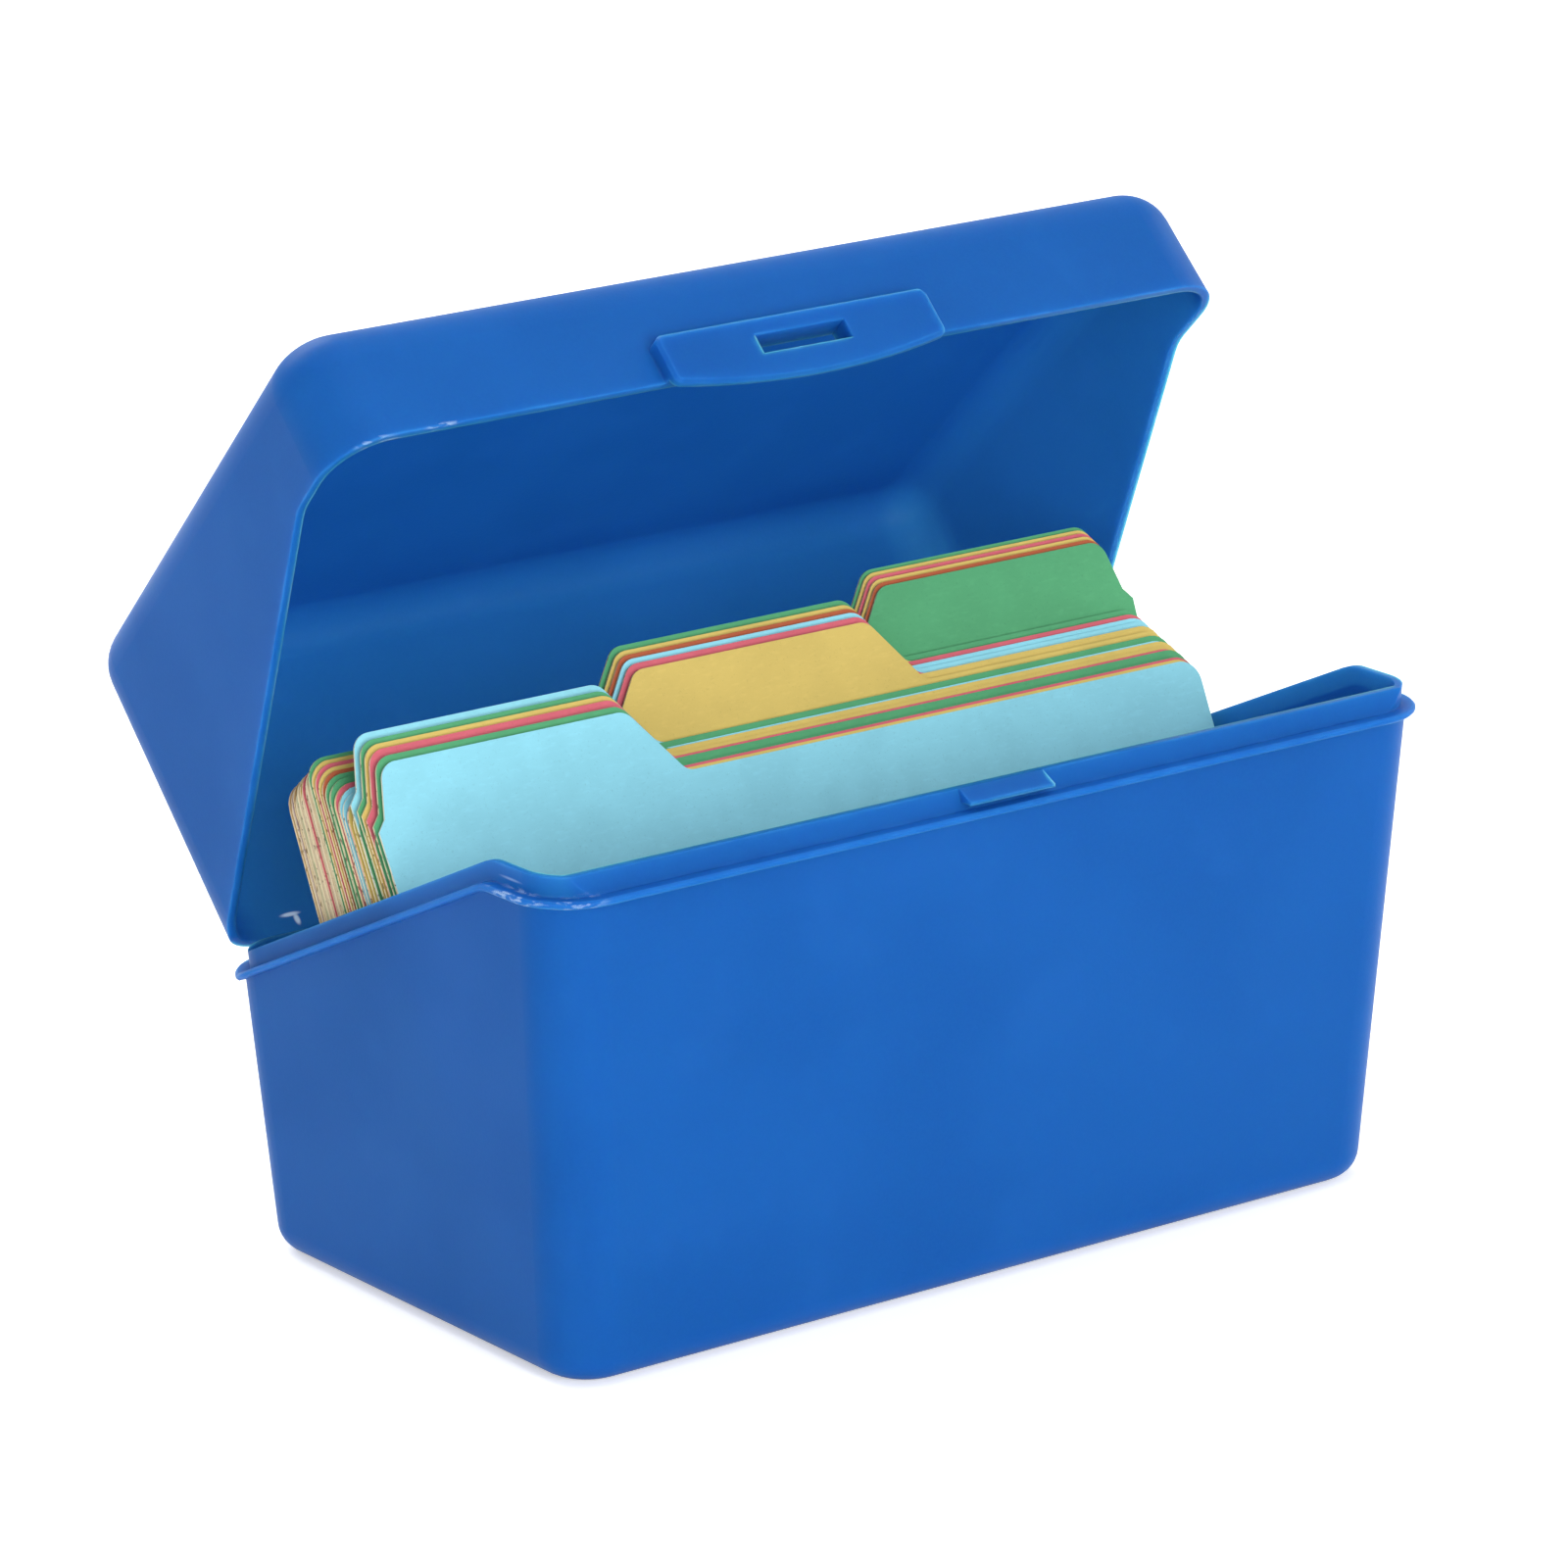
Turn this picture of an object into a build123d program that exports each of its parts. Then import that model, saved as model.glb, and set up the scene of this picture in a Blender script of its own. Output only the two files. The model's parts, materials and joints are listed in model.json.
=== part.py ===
"""Index card box with a flip lid, a moulded fold hinge, a snap clasp and tabbed card dividers."""
import math
import os

from build123d import *

os.makedirs("parts", exist_ok=True)

# All sizes are in millimetres and all angles in degrees.
# X runs along the front, the front faces -Y and Z is up.
# The origin is the middle of the underside of the base.

# Tub: flared walls on a rounded base; its width follows from the cards, further down
base_depth = 71.2
corner_radius = 7.5
flare_angle = 3.8
wall = 1.7
floor_thickness = 1.8
base_round = 4.0
inner_base_round = 2.4

# Parting line between tub and lid, seen from the side: high in front, sloping, low at the rear
rim_front = 65.1
rim_rear = 37.8
kink_front_in = 9.7
kink_rear_in = 1.6
kink_front_round = 7.0
kink_rear_round = 4.0

# Flange outside the rim and lip inside it
flange_out = 1.3
flange_height = 0.95
flange_bevel = 0.3
lip_height = 2.7
lip_inset = 0.7
lip_wall = 1.1
lip_lean = 1.0
lip_lean_start = 2.4

# Lid
lid_top = 83.5
lid_wall = 1.2
lid_roof = 1.5
lid_gap = 0.4
parting_gap = 0.3
lid_taper = 1.1
lid_top_round = 6.2
open_angle = 44.8

# Clasp plate with its tongue and slot, and the catch wedge that snaps into the slot
clasp_width = 43.0
clasp_rise = 6.2
clasp_raise = 2.3
clasp_corner = 1.2
tongue_side_drop = 0.9
tongue_drop = 3.2
tongue_flare = 0.8
tongue_gap = 0.3
clasp_edge_bevel = 0.45
slot_length = 14.2
slot_height = 2.8
slot_above_rim = 0.5
catch_length = 13.4
catch_above_flange = 1.0
catch_out = 1.55

# Fold hinge along the rear rim
hinge_length = 108.0
hinge_back = 0.8
hinge_bead_radius = 0.6
hinge_fin = 0.5
hinge_clearance = 0.3

# Tabbed dividers, leaning back in the tub
card_width = 127.0
card_side_gap = 0.22
card_height = 68.0
tab_height = 9.2
card_thickness = 0.3
tab_top_width = 37.5
tab_slant = 6.8
tab_end_inset = 3.0
tab_end_start = 0.7
tab_end_rise = 1.5
tab_end_step = 1.3
card_corner = 3.0
tab_corner = 2.6
tab_foot_round = 2.2
card_floor_gap = 0.15
front_foot = -27.0
front_lean = 26.6
lean_per_mm = 0.22
# sheets further back stand a little higher
rise_share = 0.22
# the sheets' sides open outward by a share of the tub's flare
edge_flare_share = 0.56
# the sheets stand loosely: each gap to the next sheet is a share of the run's mean pitch
left_pitch = 1.4
left_gap_shares = [1.05, 1.2, 0.85, 0.85, 1.2, 0.85]
centre_pitch = 1.2
centre_gap_shares = [1.25, 1.0, 0.88, 0.88, 1.1, 0.89]
right_pitch = 0.9
right_gap_shares = [1.0, 1.0, 1.0, 1.0, 1.0, 1.0]

# Cuts run past the surfaces they open by this much
overrun = 20.0
blend = 0.4

flare_share = math.tan(math.radians(flare_angle))
# the cards just fit between the end walls at the floor
base_width = card_width + 2 * (card_side_gap + wall - floor_thickness * flare_share)
lid_taper_share = math.tan(math.radians(lid_taper))
body_top = rim_front + lip_height
side_reach = base_width + overrun
sky = lid_top + overrun
lid_base = rim_rear + parting_gap
lid_over = lid_wall + lid_gap - lip_inset

half_width = base_width / 2
half_depth = base_depth / 2
kink_front = kink_front_in - half_depth
kink_rear = half_depth - kink_rear_in
front_wall = half_depth + rim_front * flare_share
rear_wall = half_depth + rim_rear * flare_share
hinge_y = rear_wall + flange_out + hinge_back
hinge_z = rim_rear + parting_gap / 2
hinge_axis = Axis((0, hinge_y, hinge_z), (1, 0, 0))
kink_radii = [kink_front_round, kink_rear_round]


def flared_block(width, depth, foot, rise):
    """A block with four flat walls that flare out from a rectangle at height foot."""
    spread = rise * flare_share
    reach = side_reach + spread
    with BuildPart() as block:
        with BuildSketch(Plane.XZ):
            with BuildLine():
                Polyline(
                    (-width / 2, foot),
                    (width / 2, foot),
                    (width / 2 + spread, foot + rise),
                    (-width / 2 - spread, foot + rise),
                    close=True,
                )
            make_face()
        extrude(amount=reach, both=True)
        with BuildSketch(Plane.YZ):
            with BuildLine():
                Polyline(
                    (-depth / 2, foot),
                    (depth / 2, foot),
                    (depth / 2 + spread, foot + rise),
                    (-depth / 2 - spread, foot + rise),
                    close=True,
                )
            make_face()
        extrude(amount=reach, both=True, mode=Mode.INTERSECT)
    return block.part


def uprights(block):
    """The four edges of a flared block that run up its corners."""
    return block.edges().filter_by(lambda e: abs((e @ 0).Z - (e @ 1).Z) > blend)


def rim_line(rise):
    """Points of the parting line seen from the side, lifted by rise."""
    return [
        (-side_reach, rim_front + rise),
        (kink_front, rim_front + rise),
        (kink_rear, rim_rear + rise),
        (side_reach, rim_rear + rise),
    ]


# Flared blocks of the outside, of the flange, of the lip and of the hollow
tub_block = flared_block(base_width, base_depth, 0, body_top)
flange_block = flared_block(base_width + 2 * flange_out, base_depth + 2 * flange_out, 0, body_top)
lip_blank = flared_block(base_width - 2 * lip_inset, base_depth - 2 * lip_inset, 0, sky)
hollow_block = flared_block(
    base_width + 2 * (floor_thickness * flare_share - wall),
    base_depth + 2 * (floor_thickness * flare_share - wall),
    floor_thickness,
    sky,
)

# Solid slab under the flange: the wider flared block between two parting lines
with BuildPart() as flange_slab:
    add(flange_block)
    fillet(uprights(flange_slab), corner_radius + flange_out)
    with BuildSketch(Plane.YZ):
        with BuildLine():
            FilletPolyline(*rim_line(0), radius=kink_radii)
            Line((side_reach, rim_rear), (side_reach, rim_rear - flange_height))
            FilletPolyline(*rim_line(-flange_height), radius=kink_radii)
            Line((-side_reach, rim_front - flange_height), (-side_reach, rim_front))
        make_face()
    extrude(amount=side_reach, both=True, mode=Mode.INTERSECT)
    outer_loop = flange_slab.edges().filter_by(
        lambda e: e.length > flange_height * 2
        and (
            abs(e.center().X) > half_width - corner_radius
            or abs(e.center().Y) > half_depth
        )
    )
    chamfer(outer_loop, flange_bevel)

# What stands inside the flange: the tub's own block, drawn in by the lip's inset
with BuildPart() as lip_block:
    add(lip_blank)
    fillet(uprights(lip_block), corner_radius - lip_inset)

# Everything that is cut away around the lip, above the flange
with BuildPart() as lip_relief:
    with BuildSketch(Plane.XY):
        Rectangle(2 * side_reach, 2 * side_reach)
    extrude(amount=sky)
    add(lip_block.part, mode=Mode.SUBTRACT)
    with BuildSketch(Plane.YZ):
        with BuildLine():
            FilletPolyline(*rim_line(0), radius=kink_radii)
            Polyline(
                (side_reach, rim_rear), (side_reach, sky), (-side_reach, sky), (-side_reach, rim_front)
            )
        make_face()
    extrude(amount=side_reach, both=True, mode=Mode.INTERSECT)
    # the front lip leans in, so that the swinging lid clears it
    with BuildSketch(Plane.YZ):
        with BuildLine():
            Polyline(
                (-side_reach, rim_front),
                (lip_inset - front_wall, rim_front),
                (lip_inset + lip_lean - front_wall, body_top),
                (lip_inset + lip_lean - front_wall, sky),
                (-side_reach, sky),
                close=True,
            )
        make_face()
    extrude(amount=side_reach, both=True)

# The hollow of the tub
with BuildPart() as tub_hollow:
    add(hollow_block)
    fillet(uprights(tub_hollow), corner_radius - wall)
    fillet(tub_hollow.edges().group_by(Axis.Z)[0], inner_base_round)
    with BuildSketch(Plane.YZ):
        with BuildLine():
            Polyline(
                (-side_reach, rim_front - lip_lean_start),
                (wall - half_depth - (rim_front - lip_lean_start) * flare_share, rim_front - lip_lean_start),
                (lip_inset + lip_lean + lip_wall - front_wall, body_top),
                (lip_inset + lip_lean + lip_wall - front_wall, 2 * sky),
                (-side_reach, 2 * sky),
                close=True,
            )
        make_face()
    extrude(amount=side_reach, both=True, mode=Mode.SUBTRACT)

with BuildPart() as body_shell:
    add(tub_block)
    fillet(uprights(body_shell), corner_radius)
    fillet(body_shell.edges().group_by(Axis.Z)[0], base_round)
    add(lip_relief.part, mode=Mode.SUBTRACT)
    add(flange_slab.part)
    add(tub_hollow.part, mode=Mode.SUBTRACT)
    with BuildSketch(Plane.YZ):
        with BuildLine():
            FilletPolyline(*rim_line(lip_height), radius=kink_radii)
            Polyline(
                (side_reach, rim_rear + lip_height),
                (side_reach, sky),
                (-side_reach, sky),
                (-side_reach, body_top),
            )
        make_face()
    extrude(amount=side_reach, both=True, mode=Mode.SUBTRACT)
    # catch wedge: a ledge below, running out flush at the top of the lip
    with BuildSketch(Plane.YZ):
        with BuildLine():
            Polyline(
                (lip_inset + wall / 2 - front_wall, rim_front + catch_above_flange),
                (lip_inset - catch_out - front_wall, rim_front + catch_above_flange),
                (lip_inset - catch_out - front_wall, rim_front + catch_above_flange + blend),
                (lip_inset + lip_lean - front_wall, body_top),
                (lip_inset + lip_lean + wall / 2 - front_wall, body_top),
                close=True,
            )
        make_face()
    extrude(amount=catch_length / 2, both=True)

body_shell.part.label = "body_shell"
export_step(body_shell.part, "parts/body_shell.step")

# Outline of the closed lid at its lowest rim: it narrows to the rear as the sloping rim does
lid_drop = (rim_front - lid_base) * lid_taper_share
side_at_front_kink = half_width + rim_front * flare_share + lid_over + lid_drop
side_at_rear_kink = half_width + rim_rear * flare_share + lid_over
side_share = (side_at_front_kink - side_at_rear_kink) / (kink_rear - kink_front)
lid_front = front_wall + lid_over + lid_drop
lid_rear = rear_wall + lid_over
lid_front_side = side_at_front_kink + (kink_front + lid_front) * side_share
lid_rear_side = side_at_rear_kink - (lid_rear - kink_rear) * side_share
lid_face = front_wall + lid_over
# its corners run round the lip's corners at one even gap
lid_corner_rear = corner_radius + lid_over
lid_corner_front = corner_radius + lid_over + lid_drop
clasp_face = lid_face + clasp_raise
flange_edge = front_wall + flange_out

with BuildPart() as lid_hollow:
    with BuildSketch(Plane.XY.offset(lid_base)) as hollow_outline:
        with BuildLine():
            Polyline(
                (lid_wall - lid_front_side, lid_wall - lid_front),
                (lid_front_side - lid_wall, lid_wall - lid_front),
                (lid_rear_side - lid_wall, lid_rear - lid_wall),
                (lid_wall - lid_rear_side, lid_rear - lid_wall),
                close=True,
            )
        make_face()
        fillet(hollow_outline.vertices().group_by(Axis.Y)[-1], lid_corner_rear - lid_wall)
        fillet(hollow_outline.vertices().group_by(Axis.Y)[0], lid_corner_front - lid_wall)
    extrude(amount=lid_top - lid_roof - lid_base, taper=lid_taper)
    fillet(lid_hollow.edges().group_by(Axis.Z)[-1], lid_top_round - lid_wall)

with BuildPart() as closed_lid:
    with BuildSketch(Plane.XY.offset(lid_base)) as lid_outline:
        with BuildLine():
            Polyline(
                (-lid_front_side, -lid_front),
                (lid_front_side, -lid_front),
                (lid_rear_side, lid_rear),
                (-lid_rear_side, lid_rear),
                close=True,
            )
        make_face()
        fillet(lid_outline.vertices().group_by(Axis.Y)[-1], lid_corner_rear)
        fillet(lid_outline.vertices().group_by(Axis.Y)[0], lid_corner_front)
    extrude(amount=lid_top - lid_base, taper=lid_taper)
    fillet(closed_lid.edges().group_by(Axis.Z)[-1], lid_top_round)
    # clasp plate on the front wall, with its tongue hanging in front of the flange
    with BuildSketch(Plane.XZ.offset(lid_face - lid_wall / 2)) as clasp_outline:
        with BuildLine():
            Polyline(
                (-clasp_width / 2, rim_front - tongue_side_drop),
                (-clasp_width / 2, rim_front + clasp_rise),
                (clasp_width / 2, rim_front + clasp_rise),
                (clasp_width / 2, rim_front - tongue_side_drop),
            )
            ThreePointArc(
                (clasp_width / 2, rim_front - tongue_side_drop),
                (0, rim_front - tongue_drop),
                (-clasp_width / 2, rim_front - tongue_side_drop),
            )
        make_face()
        fillet(clasp_outline.vertices(), clasp_corner)
    extrude(amount=clasp_raise + lid_wall / 2)
    clasp_front = closed_lid.faces().sort_by(Axis.Y)[0]
    chamfer(clasp_front.edges(), clasp_edge_bevel)
    add(lid_hollow.part, mode=Mode.SUBTRACT)
    # rim of the lid, parallel to the flange, but for the tongue in front
    with BuildSketch(Plane.YZ):
        with BuildLine():
            Polyline(
                (-tongue_gap - flange_edge, rim_front + parting_gap),
                (-tongue_gap - flange_edge - tongue_flare, rim_front - tongue_drop),
                (-tongue_gap - flange_edge - tongue_flare, 0),
                (side_reach, 0),
                (side_reach, rim_rear + parting_gap),
            )
            FilletPolyline(
                (side_reach, rim_rear + parting_gap),
                (kink_rear, rim_rear + parting_gap),
                (kink_front, rim_front + parting_gap),
                (-tongue_gap - flange_edge, rim_front + parting_gap),
                radius=[kink_rear_round, kink_front_round],
            )
        make_face()
    extrude(amount=side_reach, both=True, mode=Mode.SUBTRACT)
    # slot for the catch, through plate and wall
    with BuildSketch(Plane.XZ.offset(lid_face - lid_wall - lid_gap)):
        with Locations((0, rim_front + parting_gap + slot_above_rim + slot_height / 2)):
            Rectangle(slot_length, slot_height)
    extrude(amount=overrun, mode=Mode.SUBTRACT)
    # the lid's half of the fold, along the rear rim
    with BuildSketch(Plane.YZ):
        with BuildLine():
            Polyline(
                (lid_rear - lid_wall, lid_base),
                (hinge_y - hinge_bead_radius - hinge_clearance, lid_base),
                (hinge_y - hinge_bead_radius - hinge_clearance, lid_base + hinge_fin),
                (lid_rear - lid_wall, lid_base + hinge_fin + hinge_fin),
                close=True,
            )
        make_face()
    extrude(amount=hinge_length / 2, both=True)

with BuildPart() as lid_shell:
    add(closed_lid.part.rotate(hinge_axis, -open_angle))

lid_shell.part.label = "lid_shell"
export_step(lid_shell.part, "parts/lid_shell.step")

# Fold of the hinge: a thin fin off the rear flange with a round bead along the fold line
with BuildPart() as hinge_web:
    with BuildSketch(Plane.YZ):
        with Locations((hinge_y, hinge_z)):
            Circle(hinge_bead_radius)
        with BuildLine():
            Polyline(
                (rear_wall + flange_out, rim_rear - flange_height / 2),
                (hinge_y + hinge_bead_radius - hinge_fin / 2, hinge_z - hinge_fin / 2),
                (hinge_y - hinge_bead_radius + hinge_fin / 2, hinge_z),
                (rear_wall + flange_out, rim_rear - flange_height / 2 + hinge_fin),
                close=True,
            )
        make_face()
    extrude(amount=hinge_length / 2, both=True)

hinge_web.part.label = "hinge_web"
export_step(hinge_web.part, "parts/hinge_web.step")

# Dividers: three runs of sheets, tabs at the left, in the middle and at the right
half_card = card_width / 2
edge_share = flare_share * math.cos(math.radians(front_lean)) * edge_flare_share
sheet_runs = [
    ("left", left_pitch, left_gap_shares),
    ("centre", centre_pitch, centre_gap_shares),
    ("right", right_pitch, right_gap_shares),
]
foot = front_foot
for tab_place, pitch, gap_shares in sheet_runs:
    for number, gap_share in enumerate(gap_shares, start=1):
        lean = math.radians(front_lean - (foot - front_foot) * lean_per_mm)
        tall = card_height + (foot - front_foot) * rise_share
        tab_top = tall + tab_height
        shoulder = half_card + tall * edge_share
        stand = Plane(
            origin=(0, foot, floor_thickness + card_floor_gap),
            x_dir=(1, 0, 0),
            z_dir=(0, -math.cos(lean), math.sin(lean)),
        )
        end_tab = [
            (half_card, 0),
            (shoulder + tab_end_start * edge_share, tall + tab_end_start),
            (shoulder - tab_end_step, tall + tab_end_start + tab_end_rise),
            (shoulder - tab_end_inset, tab_top),
            (shoulder - tab_end_inset - tab_top_width, tab_top),
            (shoulder - tab_end_inset - tab_top_width - tab_slant, tall),
            (-shoulder, tall),
            (-half_card, 0),
        ]
        middle_tab = [
            (half_card, 0),
            (shoulder, tall),
            (tab_top_width / 2 + tab_slant, tall),
            (tab_top_width / 2, tab_top),
            (-tab_top_width / 2, tab_top),
            (-tab_top_width / 2 - tab_slant, tall),
            (-shoulder, tall),
            (-half_card, 0),
        ]
        left_tab = [(-across, up) for across, up in end_tab]
        outline = {"left": left_tab, "centre": middle_tab, "right": end_tab}[tab_place]
        with BuildPart() as divider:
            with BuildSketch(stand) as sheet:
                with BuildLine():
                    Polyline(*outline, close=True)
                make_face()
                fillet(sheet.vertices().group_by(Axis.Y)[0], card_corner)
                fillet(sheet.vertices().group_by(Axis.Y)[-1], tab_corner)
                shoulders = sheet.vertices().filter_by(lambda v: abs(v.Y - tall) < blend)
                fillet(shoulders.filter_by(lambda v: abs(v.X) > half_card - blend), card_corner)
                feet = sheet.vertices().filter_by(
                    lambda v: abs(v.Y - tall) < blend and abs(v.X) < half_card - 2 * card_corner
                )
                fillet(feet, tab_foot_round)
            extrude(amount=card_thickness)
        name = f"divider_{tab_place}_{number}"
        divider.part.label = name
        export_step(divider.part, f"parts/{name}.step")
        foot = foot + pitch * gap_share
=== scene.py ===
"""Looks of the index card box: moulded blue plastic, packed coloured cards, studio and camera."""

import json
import logging
import math
from dataclasses import dataclass, field
from enum import Enum

import bpy
import numpy as np
from mathutils import Matrix, Vector


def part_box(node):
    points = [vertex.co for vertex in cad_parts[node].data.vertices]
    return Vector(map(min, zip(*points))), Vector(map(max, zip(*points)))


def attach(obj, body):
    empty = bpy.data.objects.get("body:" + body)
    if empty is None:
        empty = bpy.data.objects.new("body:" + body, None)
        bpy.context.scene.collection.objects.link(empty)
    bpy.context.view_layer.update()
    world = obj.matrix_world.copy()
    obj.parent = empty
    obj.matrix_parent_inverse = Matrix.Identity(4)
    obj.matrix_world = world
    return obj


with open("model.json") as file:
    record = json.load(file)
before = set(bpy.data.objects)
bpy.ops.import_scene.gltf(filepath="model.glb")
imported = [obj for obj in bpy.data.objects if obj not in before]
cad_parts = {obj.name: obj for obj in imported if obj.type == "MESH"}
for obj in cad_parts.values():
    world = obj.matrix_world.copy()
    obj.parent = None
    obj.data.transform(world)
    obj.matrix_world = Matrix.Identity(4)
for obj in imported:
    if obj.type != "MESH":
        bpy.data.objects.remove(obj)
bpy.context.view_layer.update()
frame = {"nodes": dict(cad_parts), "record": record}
MM = 0.001
log = logging.getLogger("card_box")
Rgb = tuple[float, float, float]
Point = tuple[float, float, float]
Span = tuple[float, float]
Socket = bpy.types.NodeSocket
Source = Socket | float | tuple[float, ...] | list[float]

# Screen colours: full white, and the usual curve with its straight dark end.
SCREEN_WHITE = 255.0
DARK_LIMIT = 0.04045
DARK_SLOPE = 12.92
CURVE_OFFSET = 0.055
CURVE_POWER = 2.4

# Sockets of a colour mix node, by number because several of them share a name.
MIX_SHARE = 0
MIX_UNDER = 6
MIX_OVER = 7
MIX_RESULT = 2

EVEN: Point = (1.0, 1.0, 1.0)
EDGE_SAMPLES = 6
SPOT_CORE_SHARE = 0.35


def linear(red: float, green: float, blue: float) -> tuple[float, float, float, float]:
    """Turn a screen colour into the linear colour that shaders use.

    Args:
        red: Screen value from 0 to 255.
        green: Screen value from 0 to 255.
        blue: Screen value from 0 to 255.

    Returns:
        Linear red, green, blue and an alpha of 1.
    """
    screen = np.array([red, green, blue]) / SCREEN_WHITE
    low = screen / DARK_SLOPE
    high = ((screen + CURVE_OFFSET) / (1 + CURVE_OFFSET)) ** CURVE_POWER
    return (*np.where(screen <= DARK_LIMIT, low, high).tolist(), 1.0)


def dress_node(node: str, finish: bpy.types.Material) -> None:
    """Give a CAD node its finish.

    Args:
        node: Name of the node.
        finish: Its material.
    """
    frame["nodes"][node].data.materials[0] = finish
    log.info("%s wears %s", node, finish.name)


class CardTone(Enum):
    """Dye of a divider or card, as a screen colour."""

    BLUE = (142, 212, 228)
    GREEN = (84, 161, 113)
    PINK = (206, 100, 114)
    YELLOW = (209, 185, 103)
    ORANGE = (176, 92, 62)
    CREAM = (226, 210, 176)
    TAN = (190, 156, 112)
    MAUVE = (186, 160, 160)
    OLIVE = (104, 120, 70)


class Lie(Enum):
    """Which face of its divider a loose card lies against."""

    FRONT = 1
    BACK = -1


@dataclass(frozen=True)
class Mottle:
    """A cloudy noise pattern and how much of it shows.

    grain is the size of a cloud in millimetres, detail the number of finer octaves, and stretch how much
    the pattern is squeezed along each axis. The share that shows runs from least, where the noise is at
    low, to most, where it is at high.
    """

    grain: float
    detail: float
    low: float
    high: float
    least: float = 0.0
    most: float = 1.0
    stretch: Point = EVEN


@dataclass
class ShaderBoard:
    """Adds and joins the nodes of one material."""

    material: bpy.types.Material
    coords: Socket | None = None

    @classmethod
    def start(cls, name: str) -> "ShaderBoard":
        """Start a new material with a plain principled shader.

        Args:
            name: Name of the new material.

        Returns:
            The board that works on it.
        """
        made = bpy.data.materials.new(name)
        made.use_nodes = True
        return cls(made)

    @property
    def surface(self) -> bpy.types.Node:
        """The principled shader."""
        return self.material.node_tree.nodes["Principled BSDF"]

    def node(self, kind: str, **settings: object) -> bpy.types.Node:
        """Add a node and set its properties.

        Args:
            kind: Blender's name of the node type.
            settings: Properties of the node itself.

        Returns:
            The new node.
        """
        made = self.material.node_tree.nodes.new(kind)
        for key, value in settings.items():
            setattr(made, key, value)
        return made

    def feed(self, target: Socket, source: Source) -> None:
        """Link a socket to its target, or set a plain number or vector there.

        Args:
            target: Socket that is fed.
            source: What it gets.
        """
        if isinstance(source, Socket):
            self.material.node_tree.links.new(source, target)
        else:
            target.default_value = source

    def place(self) -> Socket:
        """Object coordinates in metres."""
        if self.coords is None:
            self.coords = self.node("ShaderNodeTexCoord").outputs["Object"]
        return self.coords

    def noise(self, pattern: Mottle) -> Socket:
        """Plain noise of a pattern.

        Args:
            pattern: The pattern.

        Returns:
            The noise value, about 0.5 on average.
        """
        where = self.place()
        if pattern.stretch != EVEN:
            squeeze = self.node("ShaderNodeVectorMath", operation="MULTIPLY")
            self.feed(squeeze.inputs[0], where)
            self.feed(squeeze.inputs[1], pattern.stretch)
            where = squeeze.outputs[0]
        made = self.node("ShaderNodeTexNoise")
        self.feed(made.inputs["Vector"], where)
        made.inputs["Scale"].default_value = 1 / (pattern.grain * MM)
        made.inputs["Detail"].default_value = pattern.detail
        return made.outputs["Fac"]

    def shown(self, pattern: Mottle, noise: Socket) -> Socket:
        """Share of a pattern that shows, from its plain noise."""
        return self.remap(noise, pattern.low, pattern.high, pattern.least, pattern.most)

    def mottle(self, pattern: Mottle) -> Socket:
        """Share of a pattern that shows."""
        return self.shown(pattern, self.noise(pattern))

    def remap(
        self, value: Source, low: float, high: float, to_low: float = 0.0, to_high: float = 1.0
    ) -> Socket:
        """Stretch a value from one range to another, smoothly and clamped.

        Args:
            value: The value.
            low: Value that becomes to_low.
            high: Value that becomes to_high.
            to_low: Result at low.
            to_high: Result at high.

        Returns:
            The stretched value.
        """
        made = self.node("ShaderNodeMapRange", interpolation_type="SMOOTHSTEP")
        names = ("Value", "From Min", "From Max", "To Min", "To Max")
        for name, number in zip(names, (value, low, high, to_low, to_high)):
            self.feed(made.inputs[name], number)
        return made.outputs["Result"]

    def sum(self, operation: str, first: Source, second: Source) -> Socket:
        """Work one sum on two values.

        Args:
            operation: Blender's name of the sum.
            first: First value.
            second: Second value.

        Returns:
            The result.
        """
        made = self.node("ShaderNodeMath", operation=operation)
        self.feed(made.inputs[0], first)
        self.feed(made.inputs[1], second)
        return made.outputs[0]

    def tint(self, share: Source, under: Source, over: Source) -> Socket:
        """Lay one colour over another.

        Args:
            share: How much of the upper colour shows.
            under: Lower colour.
            over: Upper colour.

        Returns:
            The mixed colour.
        """
        made = self.node("ShaderNodeMix", data_type="RGBA")
        self.feed(made.inputs[MIX_SHARE], share)
        self.feed(made.inputs[MIX_UNDER], under)
        self.feed(made.inputs[MIX_OVER], over)
        return made.outputs[MIX_RESULT]

    def dot(self, first: Source, second: Source) -> Socket:
        """Dot product of two vectors, without its sign.

        Args:
            first: First vector.
            second: Second vector.

        Returns:
            The size of the product.
        """
        made = self.node("ShaderNodeVectorMath", operation="DOT_PRODUCT")
        self.feed(made.inputs[0], first)
        self.feed(made.inputs[1], second)
        return self.sum("ABSOLUTE", made.outputs["Value"], 0.0)

    def soft_edges(self, radius: float) -> Socket:
        """Normal that runs round sharp edges.

        Args:
            radius: Radius of the edges in millimetres.

        Returns:
            The normal.
        """
        made = self.node("ShaderNodeBevel", samples=EDGE_SAMPLES)
        made.inputs["Radius"].default_value = radius * MM
        return made.outputs["Normal"]

    def facing(self) -> Socket:
        """True normal of the face."""
        return self.node("ShaderNodeNewGeometry").outputs["True Normal"]

    def bend(self, radius: float) -> Socket:
        """How far edges of a radius turn from their face: 1 less the dot product of the two normals."""
        return self.sum("SUBTRACT", 1.0, self.dot(self.soft_edges(radius), self.facing()))

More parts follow.
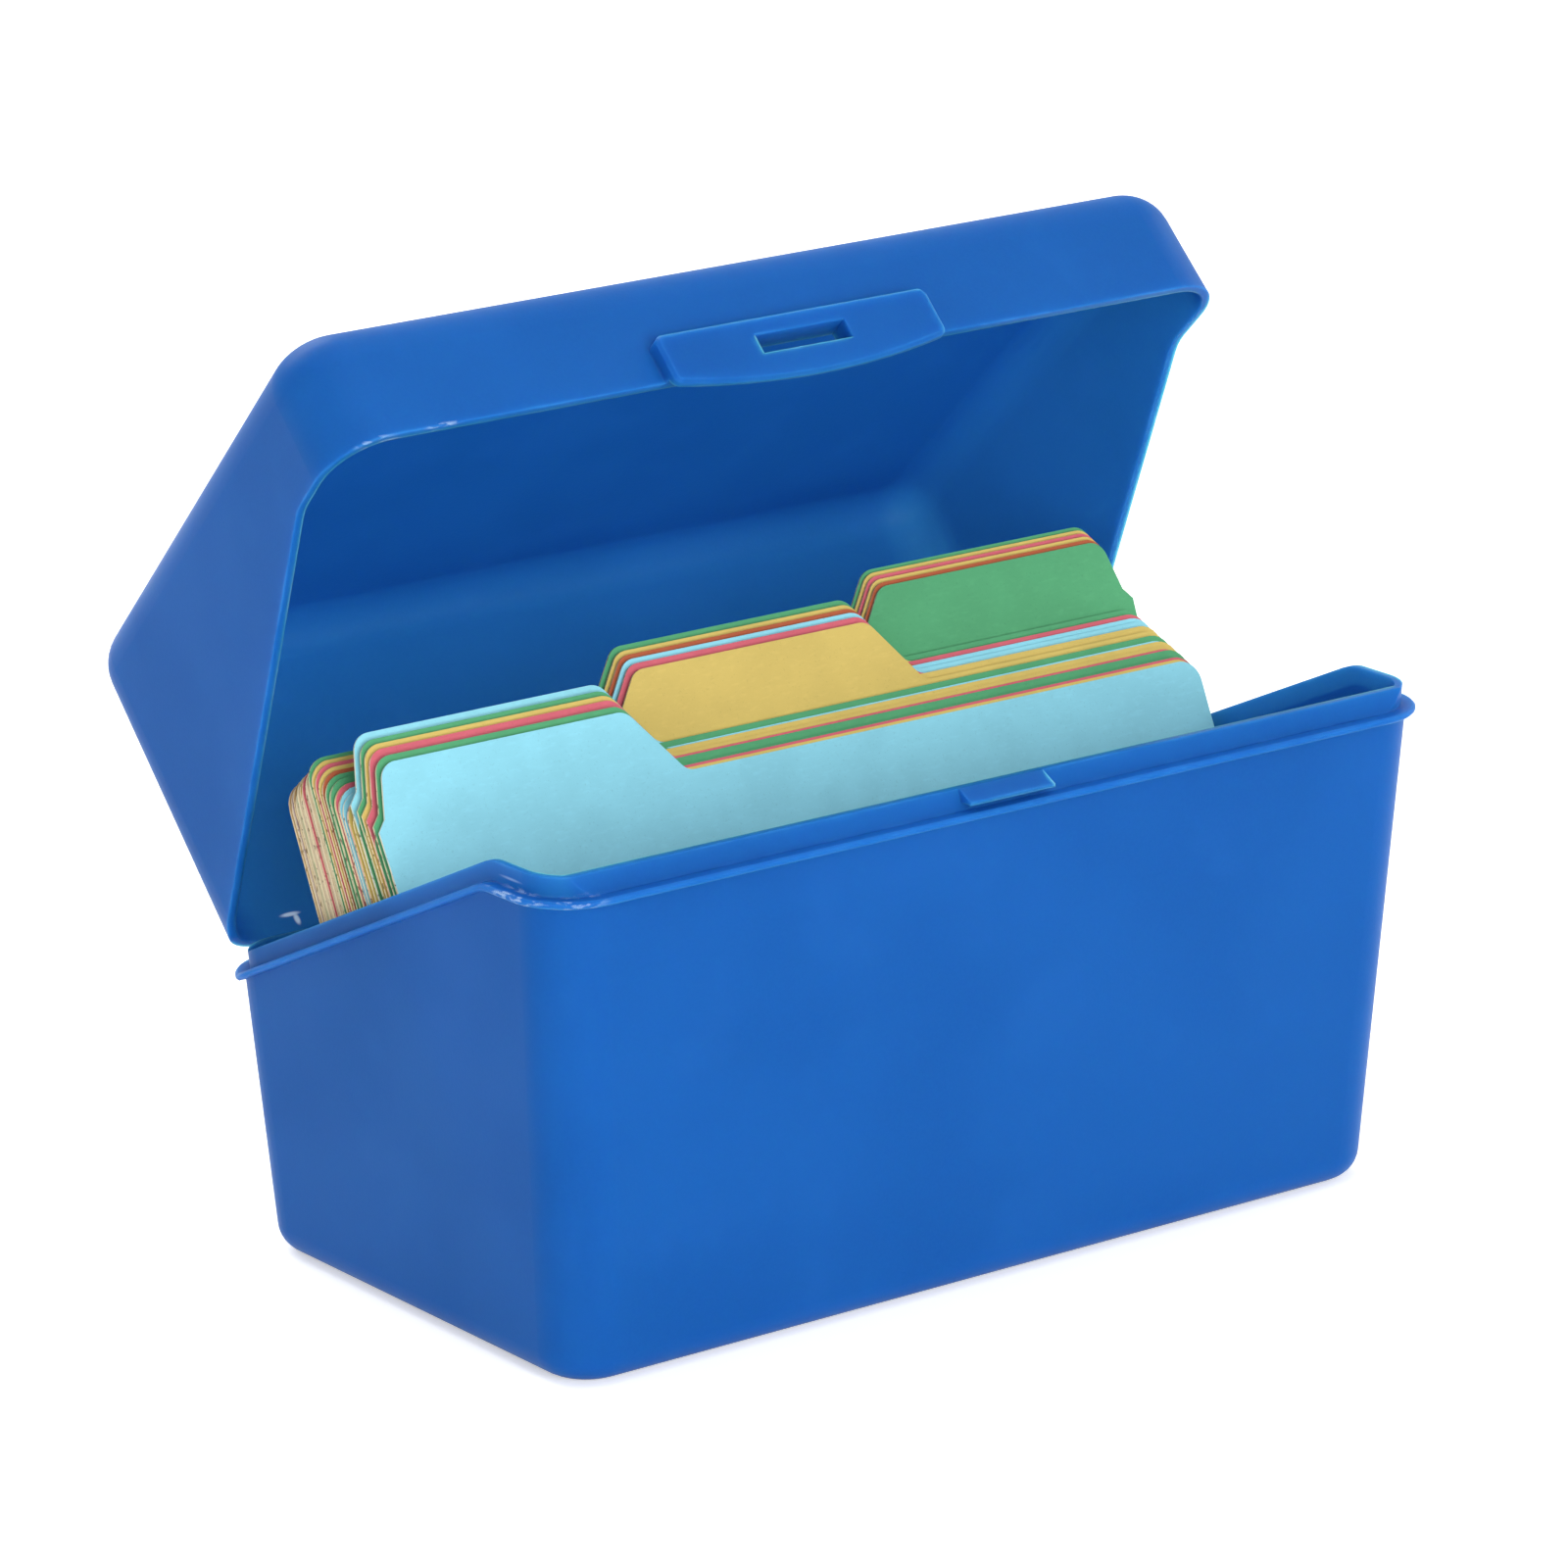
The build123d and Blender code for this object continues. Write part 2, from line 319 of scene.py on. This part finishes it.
    def near(self, place: Point, reach: Point) -> Socket:
        """Soft spot round a place.

        Args:
            place: Its middle in millimetres.
            reach: Its half sizes in millimetres.

        Returns:
            1 in the middle of the spot and 0 outside it.
        """
        offset = self.node("ShaderNodeVectorMath", operation="SUBTRACT")
        self.feed(offset.inputs[0], self.place())
        self.feed(offset.inputs[1], [value * MM for value in place])
        scaled = self.node("ShaderNodeVectorMath", operation="MULTIPLY")
        self.feed(scaled.inputs[0], offset.outputs[0])
        self.feed(scaled.inputs[1], [1 / (value * MM) for value in reach])
        length = self.node("ShaderNodeVectorMath", operation="LENGTH")
        self.feed(length.inputs[0], scaled.outputs[0])
        return self.remap(length.outputs["Value"], SPOT_CORE_SHARE, 1.0, 1.0, 0.0)

    def bumps(self, height: Socket, depth: float, normal: Socket | None = None) -> None:
        """Raise the surface by a height pattern.

        Args:
            height: Pattern from 0 to 1.
            depth: Its depth in millimetres.
            normal: Normal that it starts from, or None for the surface's own.
        """
        made = self.node("ShaderNodeBump")
        made.inputs["Strength"].default_value = 1.0
        made.inputs["Distance"].default_value = depth * MM
        self.feed(made.inputs["Height"], height)
        if normal is not None:
            self.feed(made.inputs["Normal"], normal)
        self.feed(self.surface.inputs["Normal"], made.outputs["Normal"])


@dataclass(frozen=True)
class ScuffAndHighlight:
    """A place where the plastic is painted pale, along an edge or on a flat face: mostly scuffs, and on
    the lid a painted highlight near the hinge.

    place is its middle and reach its half sizes, in millimetres.
    """

    place: Point
    reach: Point
    amount: float
    on_edge: bool = True


@dataclass(frozen=True)
class MouldedPlastic:
    """Satin blue moulded plastic with a fine grain, cloudy colour, pale rubbed edges and pale marks:
    scuffs, and on the lid a painted highlight.

    Radii and depths are in millimetres. The bends say where rubbing and scuffs start and where they are
    full. roughness runs from the darker to the lighter clouds. gloss_index is the index of refraction,
    lower than a real plastic's for a weak reflection. see_through is the share of the light that enters
    the plastic, and light_depth is how deep it goes.
    """

    colour: Rgb = (19, 87, 162)
    shade: Rgb = (17, 83, 157)
    sheen: Rgb = (26, 93, 168)
    rubbed: Rgb = (40, 109, 185)
    chalk: Rgb = (192, 214, 238)
    clouds: Mottle = Mottle(grain=34.0, detail=2.0, low=0.36, high=0.64)
    patches: Mottle = Mottle(grain=12.0, detail=2.0, low=0.52, high=0.75, most=0.3)
    skin: Mottle = Mottle(grain=0.42, detail=2.0, low=0.3, high=0.7, most=0.16)
    rubbing: Mottle = Mottle(grain=5.0, detail=4.0, low=0.35, high=0.7, least=0.1, most=0.75)
    flakes: Mottle = Mottle(grain=0.75, detail=5.0, low=0.5, high=0.58, stretch=(0.5, 0.5, 1.4))
    rub_bend: Span = (0.015, 0.16)
    scuff_bend: Span = (0.01, 0.05)
    roughness: Span = (0.42, 0.37)
    edge_radius: float = 0.35
    wear_radius: float = 0.9
    skin_depth: float = 0.012
    gloss_index: float = 1.13
    see_through: float = 1.0
    light_depth: float = 5.6
    scuffs: tuple[ScuffAndHighlight, ...] = ()

    def scuffed(self, board: ShaderBoard, colour: Socket, bend: Socket) -> Socket:
        """Lay the chalky scuffs and painted highlights over a colour.

        A scuff along an edge is broken into flakes and shows only where the surface bends.

        Args:
            board: Board of the material.
            colour: Colour under the scuffs and painted highlights.
            bend: How far the edges turn.

        Returns:
            The colour with its scuffs and painted highlights.
        """
        flakes = board.mottle(self.flakes)
        # Each mark is painted pale: the scuffs are wear, and the lid's two spots off the edges are a
        # painted highlight.
        for pale_mark in self.scuffs:
            spot = board.near(pale_mark.place, pale_mark.reach)
            amount = pale_mark.amount
            if pale_mark.on_edge:
                spot = board.sum("MULTIPLY", spot, flakes)
                amount = board.remap(bend, *self.scuff_bend, 0.0, pale_mark.amount)
            colour = board.tint(board.sum("MULTIPLY", spot, amount), colour, linear(*self.chalk))
        return colour

    def material(self, name: str) -> bpy.types.Material:
        """Build the shader of this finish.

        Args:
            name: Name of the new material.

        Returns:
            The material.
        """
        board = ShaderBoard.start(name)
        cloud = board.mottle(self.clouds)
        colour = board.tint(cloud, linear(*self.shade), linear(*self.colour))
        colour = board.tint(board.mottle(self.patches), colour, linear(*self.sheen))
        skin = board.noise(self.skin)
        colour = board.tint(board.shown(self.skin, skin), colour, linear(*self.sheen))
        bend = board.bend(self.wear_radius)
        rub = board.sum("MULTIPLY", board.remap(bend, *self.rub_bend), board.mottle(self.rubbing))
        colour = board.tint(rub, colour, linear(*self.rubbed))
        surface = board.surface
        board.feed(surface.inputs["Base Color"], self.scuffed(board, colour, bend))
        board.feed(surface.inputs["Roughness"], board.remap(cloud, 0.0, 1.0, *self.roughness))
        surface.inputs["IOR"].default_value = self.gloss_index
        surface.inputs["Subsurface Weight"].default_value = self.see_through
        surface.inputs["Subsurface Radius"].default_value = EVEN
        surface.inputs["Subsurface Scale"].default_value = self.light_depth * MM
        board.bumps(skin, self.skin_depth, board.soft_edges(self.edge_radius))
        return board.material


@dataclass(frozen=True)
class ColouredCard:
    """Uncoated dyed card: fibres, a little uneven dye, pale cut edges with dark specks; the pale edges
    are wear and also a painted highlight.

    The shares darken or lighten the dye. lean is the usual lean of a sheet in degrees. The turns are dot
    products of a face's normal: rim_turn with the sheet's front, where cut edges are low, and side_turn
    with the sideways direction, where the left and right edges are high. roughness runs along fibre_span.
    """

    tone: CardTone
    cut: Rgb = (228, 214, 178)
    speck: Rgb = (70, 48, 30)
    deep_share: float = 0.975
    pale_share: float = 1.04
    pale_lift: float = 4.0
    fleck_share: float = 0.8
    lean: float = 26.0
    dye: Mottle = Mottle(grain=7.0, detail=3.0, low=0.34, high=0.66)
    fibres: Mottle = Mottle(grain=0.5, detail=4.0, low=0.5, high=0.75, most=0.3, stretch=(0.35, 1.0, 1.0))
    flecks: Mottle = Mottle(grain=0.32, detail=1.0, low=0.66, high=0.72, most=0.22)
    bleach: Mottle = Mottle(grain=2.2, detail=3.0, low=0.35, high=0.65, least=0.25, most=0.6)
    fading: Mottle = Mottle(grain=3.0, detail=3.0, low=0.35, high=0.65, least=0.25, most=0.7)
    dirt: Mottle = Mottle(grain=0.8, detail=2.0, low=0.6, high=0.66, most=0.75)
    rim_turn: Span = (0.35, 0.8)
    side_turn: Span = (0.6, 0.95)
    fibre_span: Span = (0.3, 0.7)
    roughness: Span = (0.92, 0.8)
    fibre_depth: float = 0.012
    gloss: float = 0.2

    def material(self, name: str) -> bpy.types.Material:
        """Build the shader of this finish.

        Args:
            name: Name of the new material.

        Returns:
            The material.
        """
        board = ShaderBoard.start(name)
        tone = np.array(self.tone.value)
        deep = linear(*(tone * self.deep_share))
        pale = linear(*np.minimum(tone * self.pale_share + self.pale_lift, SCREEN_WHITE))
        colour = board.tint(board.mottle(self.dye), deep, linear(*tone))
        fibres = board.noise(self.fibres)
        colour = board.tint(board.shown(self.fibres, fibres), colour, pale)
        colour = board.tint(board.mottle(self.flecks), colour, linear(*(tone * self.fleck_share)))
        lean = math.radians(self.lean)
        front = board.dot(board.facing(), (0.0, -math.cos(lean), math.sin(lean)))
        rim = board.remap(front, *self.rim_turn, 1.0, 0.0)
        side = board.remap(board.dot(board.facing(), (1.0, 0.0, 0.0)), *self.side_turn)
        # The pale cut colour on the rims and sides is wear and also a painted highlight along the sheets'
        # edges.
        marks = (
            (rim, self.bleach, self.cut),
            (side, self.fading, self.cut),
            (side, self.dirt, self.speck),
        )
        for where, pattern, over in marks:
            share = board.sum("MULTIPLY", where, board.mottle(pattern))
            colour = board.tint(share, colour, linear(*over))
        surface = board.surface
        board.feed(surface.inputs["Base Color"], colour)
        rough = board.remap(fibres, *self.fibre_span, *self.roughness)
        board.feed(surface.inputs["Roughness"], rough)
        surface.inputs["Specular IOR Level"].default_value = self.gloss
        board.bumps(fibres, self.fibre_depth)
        return board.material


@dataclass(frozen=True)
class BoxShell:
    """Tub with its fold, and lid: the CAD nodes of blue plastic, with the scuffs that each has and a
    painted highlight near the lid's hinge.
    """

    tub_scuffs: tuple[ScuffAndHighlight, ...] = (
        ScuffAndHighlight(place=(-70.4, -33.0, 64.9), reach=(2.5, 7.0, 1.6), amount=0.55),
        ScuffAndHighlight(place=(-66.5, -40.0, 64.8), reach=(5.5, 3.0, 1.4), amount=0.45),
        ScuffAndHighlight(place=(-69.6, -30.0, 66.2), reach=(1.2, 3.4, 0.3), amount=0.35, on_edge=False),
    )
    lid_scuffs: tuple[ScuffAndHighlight, ...] = (
        ScuffAndHighlight(place=(-65.0, 2.9, 113.8), reach=(4.0, 2.0, 1.5), amount=0.3),
        ScuffAndHighlight(place=(-55.5, 2.2, 114.4), reach=(3.2, 1.5, 1.2), amount=0.4),
        # Painted highlight near the left end of the hinge: two pale spots that also stand for stress
        # whitening.
        ScuffAndHighlight(place=(-55.7, 40.6, 41.8), reach=(1.9, 0.4, 0.4), amount=1.0, on_edge=False),
        ScuffAndHighlight(place=(-55.0, 40.0, 41.2), reach=(0.55, 1.1, 1.1), amount=1.0, on_edge=False),
    )

    def dress(self) -> None:
        """Give tub, fold and lid their plastic."""
        tub = MouldedPlastic(scuffs=self.tub_scuffs).material("tub_plastic")
        lid = MouldedPlastic(scuffs=self.lid_scuffs).material("lid_plastic")
        dress_node("body_shell", tub)
        dress_node("lid_shell", lid)
        dress_node("hinge_web", tub)


@dataclass(frozen=True)
class LooseCard:
    """One thin card that lies against a divider.

    rise is how far its top edge stands over the divider's shoulder, in millimetres, as thickness is.
    """

    lie: Lie
    tone: CardTone
    rise: float
    thickness: float = 0.1


def loose(lie: Lie, *cards: tuple[CardTone, float]) -> tuple[LooseCard, ...]:
    """Pile of cards on one side of a divider, nearest first, each with its tone and rise."""
    return tuple(LooseCard(lie, tone, rise) for tone, rise in cards)


FILING: dict[str, tuple[LooseCard, ...]] = {
    "divider_left_1": loose(
        Lie.BACK, (CardTone.YELLOW, 0.4), (CardTone.PINK, 0.75), (CardTone.CREAM, -2.2)
    ),
    "divider_left_2": loose(Lie.BACK, (CardTone.TAN, -1.4), (CardTone.MAUVE, -2.8)),
    "divider_left_3": loose(Lie.FRONT, (CardTone.GREEN, 0.0)) + loose(Lie.BACK, (CardTone.PINK, 0.3)),
    "divider_left_4": loose(Lie.FRONT, (CardTone.CREAM, -1.6)) + loose(Lie.BACK, (CardTone.TAN, -1.8)),
    "divider_left_5": loose(Lie.FRONT, (CardTone.YELLOW, 0.0))
    + loose(Lie.BACK, (CardTone.BLUE, 0.25), (CardTone.TAN, -1.5)),
    "divider_left_6": loose(Lie.FRONT, (CardTone.GREEN, 0.0)) + loose(Lie.BACK, (CardTone.OLIVE, -0.9)),
    "divider_centre_1": loose(Lie.FRONT, (CardTone.TAN, -1.2)) + loose(Lie.BACK, (CardTone.CREAM, -1.8)),
    "divider_centre_2": loose(Lie.FRONT, (CardTone.YELLOW, 0.0), (CardTone.MAUVE, -1.2))
    + loose(Lie.BACK, (CardTone.TAN, -1.3)),
    "divider_centre_3": loose(Lie.FRONT, (CardTone.CREAM, -2.0)),
    "divider_centre_4": loose(Lie.FRONT, (CardTone.BLUE, 0.0)),
    "divider_centre_5": loose(Lie.FRONT, (CardTone.PINK, 0.0)),
    "divider_centre_6": loose(Lie.FRONT, (CardTone.GREEN, 0.0), (CardTone.TAN, -1.4))
    + loose(Lie.BACK, (CardTone.TAN, -1.0)),
    "divider_right_1": loose(Lie.BACK, (CardTone.TAN, -0.6)),
    "divider_right_2": loose(Lie.BACK, (CardTone.CREAM, -0.8)),
    "divider_right_3": loose(Lie.BACK, (CardTone.YELLOW, -0.6)),
    "divider_right_4": loose(Lie.BACK, (CardTone.MAUVE, -0.9)),
    "divider_right_5": loose(Lie.BACK, (CardTone.OLIVE, -0.7)),
}
REAR_DIVIDER = "divider_right_6"
REAR_THICKNESS = 0.2
REAR_ROOM = 0.12
REAR_CARDS: tuple[LooseCard, ...] = tuple(
    LooseCard(Lie.BACK, tone, rise, REAR_THICKNESS)
    for tone, rise in (
        (CardTone.OLIVE, -0.5), (CardTone.TAN, -1.3), (CardTone.CREAM, -0.7), (CardTone.YELLOW, -1.6),
        (CardTone.MAUVE, -0.9), (CardTone.TAN, -1.5), (CardTone.PINK, -1.1), (CardTone.CREAM, -1.9),
        (CardTone.YELLOW, -1.3), (CardTone.MAUVE, -2.1), (CardTone.CREAM, -1.5), (CardTone.TAN, -2.2),
        (CardTone.GREEN, -1.8), (CardTone.CREAM, -2.5), (CardTone.TAN, -1.9), (CardTone.YELLOW, -2.6),
        (CardTone.MAUVE, -2.2), (CardTone.CREAM, -2.8), (CardTone.TAN, -2.3), (CardTone.OLIVE, -2.7),
    )
)


@dataclass
class CardPack:
    """Dividers, and the thin loose cards filed against them with the dividers' own outline.

    Lengths are in millimetres. Half a card is foot_half wide at its foot and grows by side_share of its
    height. The front divider stands at front_foot with its shoulder at front_height, and a divider behind
    it is higher by rise_share of the distance. Cards lie spacing apart, and some are drawn in by up to
    slack.
    """

    foot_half: float = 63.5
    side_share: float = 0.03326
    front_height: float = 68.0
    front_foot: float = -27.0
    rise_share: float = 0.22
    corner: float = 3.0
    divider_thickness: float = 0.3
    spacing: float = 0.025
    slack: float = 0.4
    corner_points: int = 7
    flat_points: int = 9
    rows: int = 7
    finishes: dict[CardTone, bpy.types.Material] = field(default_factory=dict)

    def dye(self) -> None:
        """Make the card finish of every tone."""
        for tone in CardTone:
            self.finishes[tone] = ColouredCard(tone).material(f"{tone.name.lower()}_card")

    def dress(self) -> None:
        """Give every divider the card that its material slot names."""
        for sub in frame["record"]["subparts"]:
            kind, tone = sub["material_slot"].split("_")
            if kind == "card":
                dress_node(sub["node"], self.finishes[CardTone[tone.upper()]])

    def outline(self, top: float, half: float) -> tuple[np.ndarray, np.ndarray]:
        """Upper outline of a card, from its left side over the top to its right side.

        The corners are quarter circles, and the points between them are evenly spread.

        Args:
            top: Height of the top edge.
            half: Half of the card's width at that height.

        Returns:
            Positions across and up, in millimetres.
        """
        turn = np.linspace(0.0, np.pi / 2, self.corner_points)
        round_x = half - self.corner + self.corner * np.cos(turn)
        round_up = top - self.corner + self.corner * np.sin(turn)
        flat_x = np.linspace(-(half - self.corner), half - self.corner, self.flat_points)[1:-1]
        across = np.concatenate([-round_x, flat_x, round_x[::-1]])
        up = np.concatenate([round_up, np.full(flat_x.shape, top), round_up[::-1]])
        return across, up

    def slab(
        self, across: np.ndarray, up: np.ndarray, foot_up: float, behind: float, thickness: float
    ) -> tuple[np.ndarray, np.ndarray]:
        """Closed thin sheet under an outline.

        A point is a share of the way up its column, and both across and up run from the foot to the
        outline by that share. The share is 1 less the square of an even fall from 1 to 0, so that rows
        lie closer towards the top. The two faces lie at two depths along the normal.

        Args:
            across: Outline positions across.
            up: Outline heights.
            foot_up: Height of the foot.
            behind: Depth of the rear face along the normal.
            thickness: Distance between the faces.

        Returns:
            Points as across, up and depth, and quads as rows of four indices.
        """
        share = 1 - np.linspace(1.0, 0.0, self.rows) ** 2
        foot = across * self.foot_half / np.abs(across).max()
        grid_x = foot + share[:, None] * (across - foot)
        grid_up = foot_up + share[:, None] * (up - foot_up)
        face = np.stack([grid_x, grid_up, np.zeros_like(grid_x)], axis=2).reshape(-1, 3)
        rows, columns = grid_x.shape
        index = np.arange(rows * columns).reshape(rows, columns)
        corners = [index[:-1, :-1], index[:-1, 1:], index[1:, 1:], index[1:, :-1]]
        front = np.stack(corners, axis=2).reshape(-1, 4)
        loop = np.concatenate([index[0, :-1], index[:-1, -1], index[-1, :0:-1], index[:0:-1, 0]])
        ahead = np.roll(loop, -1)
        back_start = rows * columns
        rim = np.stack([loop, loop + back_start, ahead + back_start, ahead], axis=1)
        points = np.concatenate([face + (0, 0, behind + thickness), face + (0, 0, behind)])
        return points, np.concatenate([front, front[:, ::-1] + back_start, rim])

    def stand(self, node: str) -> tuple[np.ndarray, np.ndarray]:
        """Where a divider stands, from its CAD box, and how it leans, from its lift joint.

        Args:
            node: The divider's node.

        Returns:
            Foot of its rear face in millimetres, and its own directions across, up and out of its front
            face as the rows of a matrix.
        """
        joint = next(j for j in frame["record"]["behaviour"]["joints"] if j["name"] == f"{node}_lift")
        rise = np.array(joint["axis"], dtype=float)
        normal = np.array([0.0, -rise[2], rise[1]])
        low = np.array(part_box(node)[0]) / MM
        foot = np.array([0.0, low[1] - self.divider_thickness * normal[1], low[2]])
        return foot, np.stack([np.array([1.0, 0.0, 0.0]), rise, normal])

    def build(
        self, name: str, node: str, cards: tuple[LooseCard, ...], rider: str, apart: float = 0.0
    ) -> bpy.types.Object:
        """File the cards that lie against one divider, parallel to it.

        Args:
            name: Name of the new piece.
            node: The divider's node.
            cards: Its cards, nearest first on each side.
            rider: Body that the cards move with.
            apart: Room between two cards beyond the usual spacing, in millimetres.

        Returns:
            The piece that holds them all.
        """
        chance = np.random.default_rng(len(name) + len(cards))
        foot, directions = self.stand(node)
        rise = directions[1]
        shoulder = self.front_height + self.rise_share * (foot[1] - self.front_foot)
        reach = {Lie.FRONT: self.divider_thickness, Lie.BACK: 0.0}
        points, quads, paints = [], [], []
        tones = list(dict.fromkeys(card.tone for card in cards))
        count = 0
        for card in cards:
            top = shoulder + card.rise
            drawn_in = self.slack * chance.uniform(0.0, 1.0) if card.rise else 0.0
            half = self.foot_half + self.side_share * (top - self.corner) - drawn_in
            across, up = self.outline(top, half)
            if card.lie is Lie.FRONT:
                behind = reach[card.lie] + self.spacing
                reach[card.lie] = behind + card.thickness
            else:
                behind = reach[card.lie] - self.spacing - apart - card.thickness
                reach[card.lie] = behind
            foot_up = max(0.0, -behind) * rise[1] / rise[2]
            local, faces = self.slab(across, up, foot_up, behind, card.thickness)
            points.append(foot + local @ directions)
            quads.append(faces + count)
            paints.append(np.full(len(faces), tones.index(card.tone)))
            count += len(local)
        mesh = bpy.data.meshes.new(name)
        mesh.from_pydata((np.concatenate(points) * MM).tolist(), [], np.concatenate(quads).tolist())
        for tone in tones:
            mesh.materials.append(self.finishes[tone])
        mesh.polygons.foreach_set("material_index", np.concatenate(paints).astype(np.int32))
        mesh.update()
        made = bpy.data.objects.new(name, mesh)
        bpy.context.scene.collection.objects.link(made)
        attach(made, rider)
        log.info("%s: %d cards", name, len(cards))
        return made

    def file_all(self) -> None:
        """File the cards of every divider, and those behind the last one, which stay in the tub."""
        for node, cards in FILING.items():
            self.build(f"cards_{node.removeprefix('divider_')}", node, cards, f"{node}_sheet")
        self.build("cards_rear", REAR_DIVIDER, REAR_CARDS, "tub", REAR_ROOM)


@dataclass(frozen=True)
class Lamp:
    """A soft lamp that looks at the box: place, size and aim in metres, power in watts."""

    name: str
    place: Point
    size: Span
    power: float
    aim: Point = (0.0, 0.0, 0.05)

    def hang(self) -> bpy.types.Object:
        """Make the lamp and turn it to the box.

        Returns:
            The lamp object.
        """
        data = bpy.data.lights.new(self.name, "AREA")
        data.shape = "RECTANGLE"
        data.size, data.size_y = self.size
        data.energy = self.power
        made = bpy.data.objects.new(self.name, data)
        bpy.context.scene.collection.objects.link(made)
        made.location = self.place
        made.rotation_mode = "QUATERNION"
        made.rotation_quaternion = (Vector(self.aim) - Vector(self.place)).to_track_quat("-Z", "Y")
        return made


@dataclass(frozen=True)
class Studio:
    """Camera, lamps, world and floor.

    Angles are in degrees. target, distance and sensor are in millimetres, clips and floor_half in metres.
    """

    azimuth: float = -36.375
    elevation: float = 16.537
    roll: float = -0.826
    target: Point = (-7.477, -2.6, 60.33)
    distance: float = 1007.463
    sensor: float = 36.0
    focal_share: float = 5.0
    clips: Span = (0.05, 20.0)
    room_light: float = 0.35
    floor_half: float = 1.5
    floor_grey: float = 0.86
    floor_lift: float = 0.45
    lamps: tuple[Lamp, ...] = (
        Lamp("front", place=(-0.25, -1.2, 0.36), size=(1.1, 0.76), power=14.2),
        Lamp("side", place=(-1.15, -0.5, 0.35), size=(0.7, 0.6), power=3.0),
        Lamp("top", place=(0.0, -0.1, 1.5), size=(1.4, 1.4), power=7.0),
        Lamp("rear", place=(0.0, 1.2, 1.0), size=(1.2, 0.9), power=17.0),
        Lamp("right", place=(1.35, -0.1, 0.5), size=(0.9, 0.8), power=6.0),
    )

    def camera(self) -> bpy.types.Object:
        """Place the camera on a sphere round the target, at the photograph's angle.

        Returns:
            The camera object.
        """
        azimuth, elevation = math.radians(self.azimuth), math.radians(self.elevation)
        back = Vector(
            (
                math.sin(azimuth) * math.cos(elevation),
                -math.cos(azimuth) * math.cos(elevation),
                math.sin(elevation),
            )
        )
        right = Vector((math.cos(azimuth), math.sin(azimuth), 0.0))
        up = back.cross(right)
        turn = Matrix.Rotation(math.radians(self.roll), 3, "Z")
        axes = Matrix((right, up, back)).transposed() @ turn
        data = bpy.data.cameras.new("photo_camera")
        data.sensor_width = self.sensor
        data.lens = self.sensor * self.focal_share
        data.clip_start, data.clip_end = self.clips
        made = bpy.data.objects.new("photo_camera", data)
        bpy.context.scene.collection.objects.link(made)
        place = (Vector(self.target) + back * self.distance) * MM
        made.matrix_world = Matrix.Translation(place) @ axes.to_4x4()
        bpy.context.scene.camera = made
        return made

    @staticmethod
    def seen(tree: bpy.types.NodeTree) -> Socket:
        """Add a switch for rays from the camera, a mirror or glass.

        Args:
            tree: Nodes of the world or material that gets the switch.

        Returns:
            1 for such rays and 0 for those that only light a surface.
        """
        path = tree.nodes.new("ShaderNodeLightPath").outputs
        seen = path["Is Camera Ray"]
        for kind in ("Is Glossy Ray", "Is Transmission Ray"):
            either = tree.nodes.new("ShaderNodeMath")
            either.operation = "MAXIMUM"
            tree.links.new(seen, either.inputs[0])
            tree.links.new(path[kind], either.inputs[1])
            seen = either.outputs[0]
        return seen

    def world(self) -> None:
        """Even white room light that shows as plain white."""
        made = bpy.data.worlds.new("studio_world")
        made.use_nodes = True
        bpy.context.scene.world = made
        tree = made.node_tree
        sky = tree.nodes["Background"]
        sky.inputs["Color"].default_value = (1, 1, 1, 1)
        level = tree.nodes.new("ShaderNodeMapRange")
        tree.links.new(self.seen(tree), level.inputs["Value"])
        level.inputs["To Min"].default_value = self.room_light
        level.inputs["To Max"].default_value = 1.0
        tree.links.new(level.outputs["Result"], sky.inputs["Strength"])

    def floor_paint(self) -> bpy.types.Material:
        """Pale matt paint with a glow that only shows, so that the floor looks white.

        Returns:
            The material.
        """
        board = ShaderBoard.start("pale_floor")
        tree = board.material.node_tree
        tree.nodes.remove(board.surface)
        matt = board.node("ShaderNodeBsdfDiffuse")
        matt.inputs["Color"].default_value = (self.floor_grey, self.floor_grey, self.floor_grey, 1)
        glow = board.node("ShaderNodeEmission")
        board.feed(glow.inputs["Strength"], board.sum("MULTIPLY", self.seen(tree), self.floor_lift))
        both = board.node("ShaderNodeAddShader")
        board.feed(both.inputs[0], matt.outputs[0])
        board.feed(both.inputs[1], glow.outputs[0])
        board.feed(tree.nodes["Material Output"].inputs["Surface"], both.outputs[0])
        return board.material

    def floor(self) -> bpy.types.Object:
        """Plain white floor that keeps the box's shadow: a flat square round the origin.

        Returns:
            The floor object.
        """
        side = np.array([-1.0, 1.0]) * self.floor_half
        across, along = np.meshgrid(side, side)
        points = np.stack([across.ravel(), along.ravel(), np.zeros(across.size)], axis=1)
        mesh = bpy.data.meshes.new("floor")
        mesh.from_pydata(points.tolist(), [], [(0, 1, 3, 2)])
        mesh.materials.append(self.floor_paint())
        made = bpy.data.objects.new("floor", mesh)
        bpy.context.scene.collection.objects.link(made)
        return made

    def build(self) -> None:
        """Make camera, lamps, world and floor."""
        self.camera()
        for lamp in self.lamps:
            lamp.hang()
        self.world()
        self.floor()


def main() -> None:
    """Dress the frame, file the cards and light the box."""
    packed = CardPack()
    packed.dye()
    BoxShell().dress()
    packed.dress()
    packed.file_all()
    Studio().build()
    bpy.context.scene.view_settings.view_transform = "Standard"


if __name__ == "__main__":
    logging.basicConfig(level=logging.INFO)
    main()
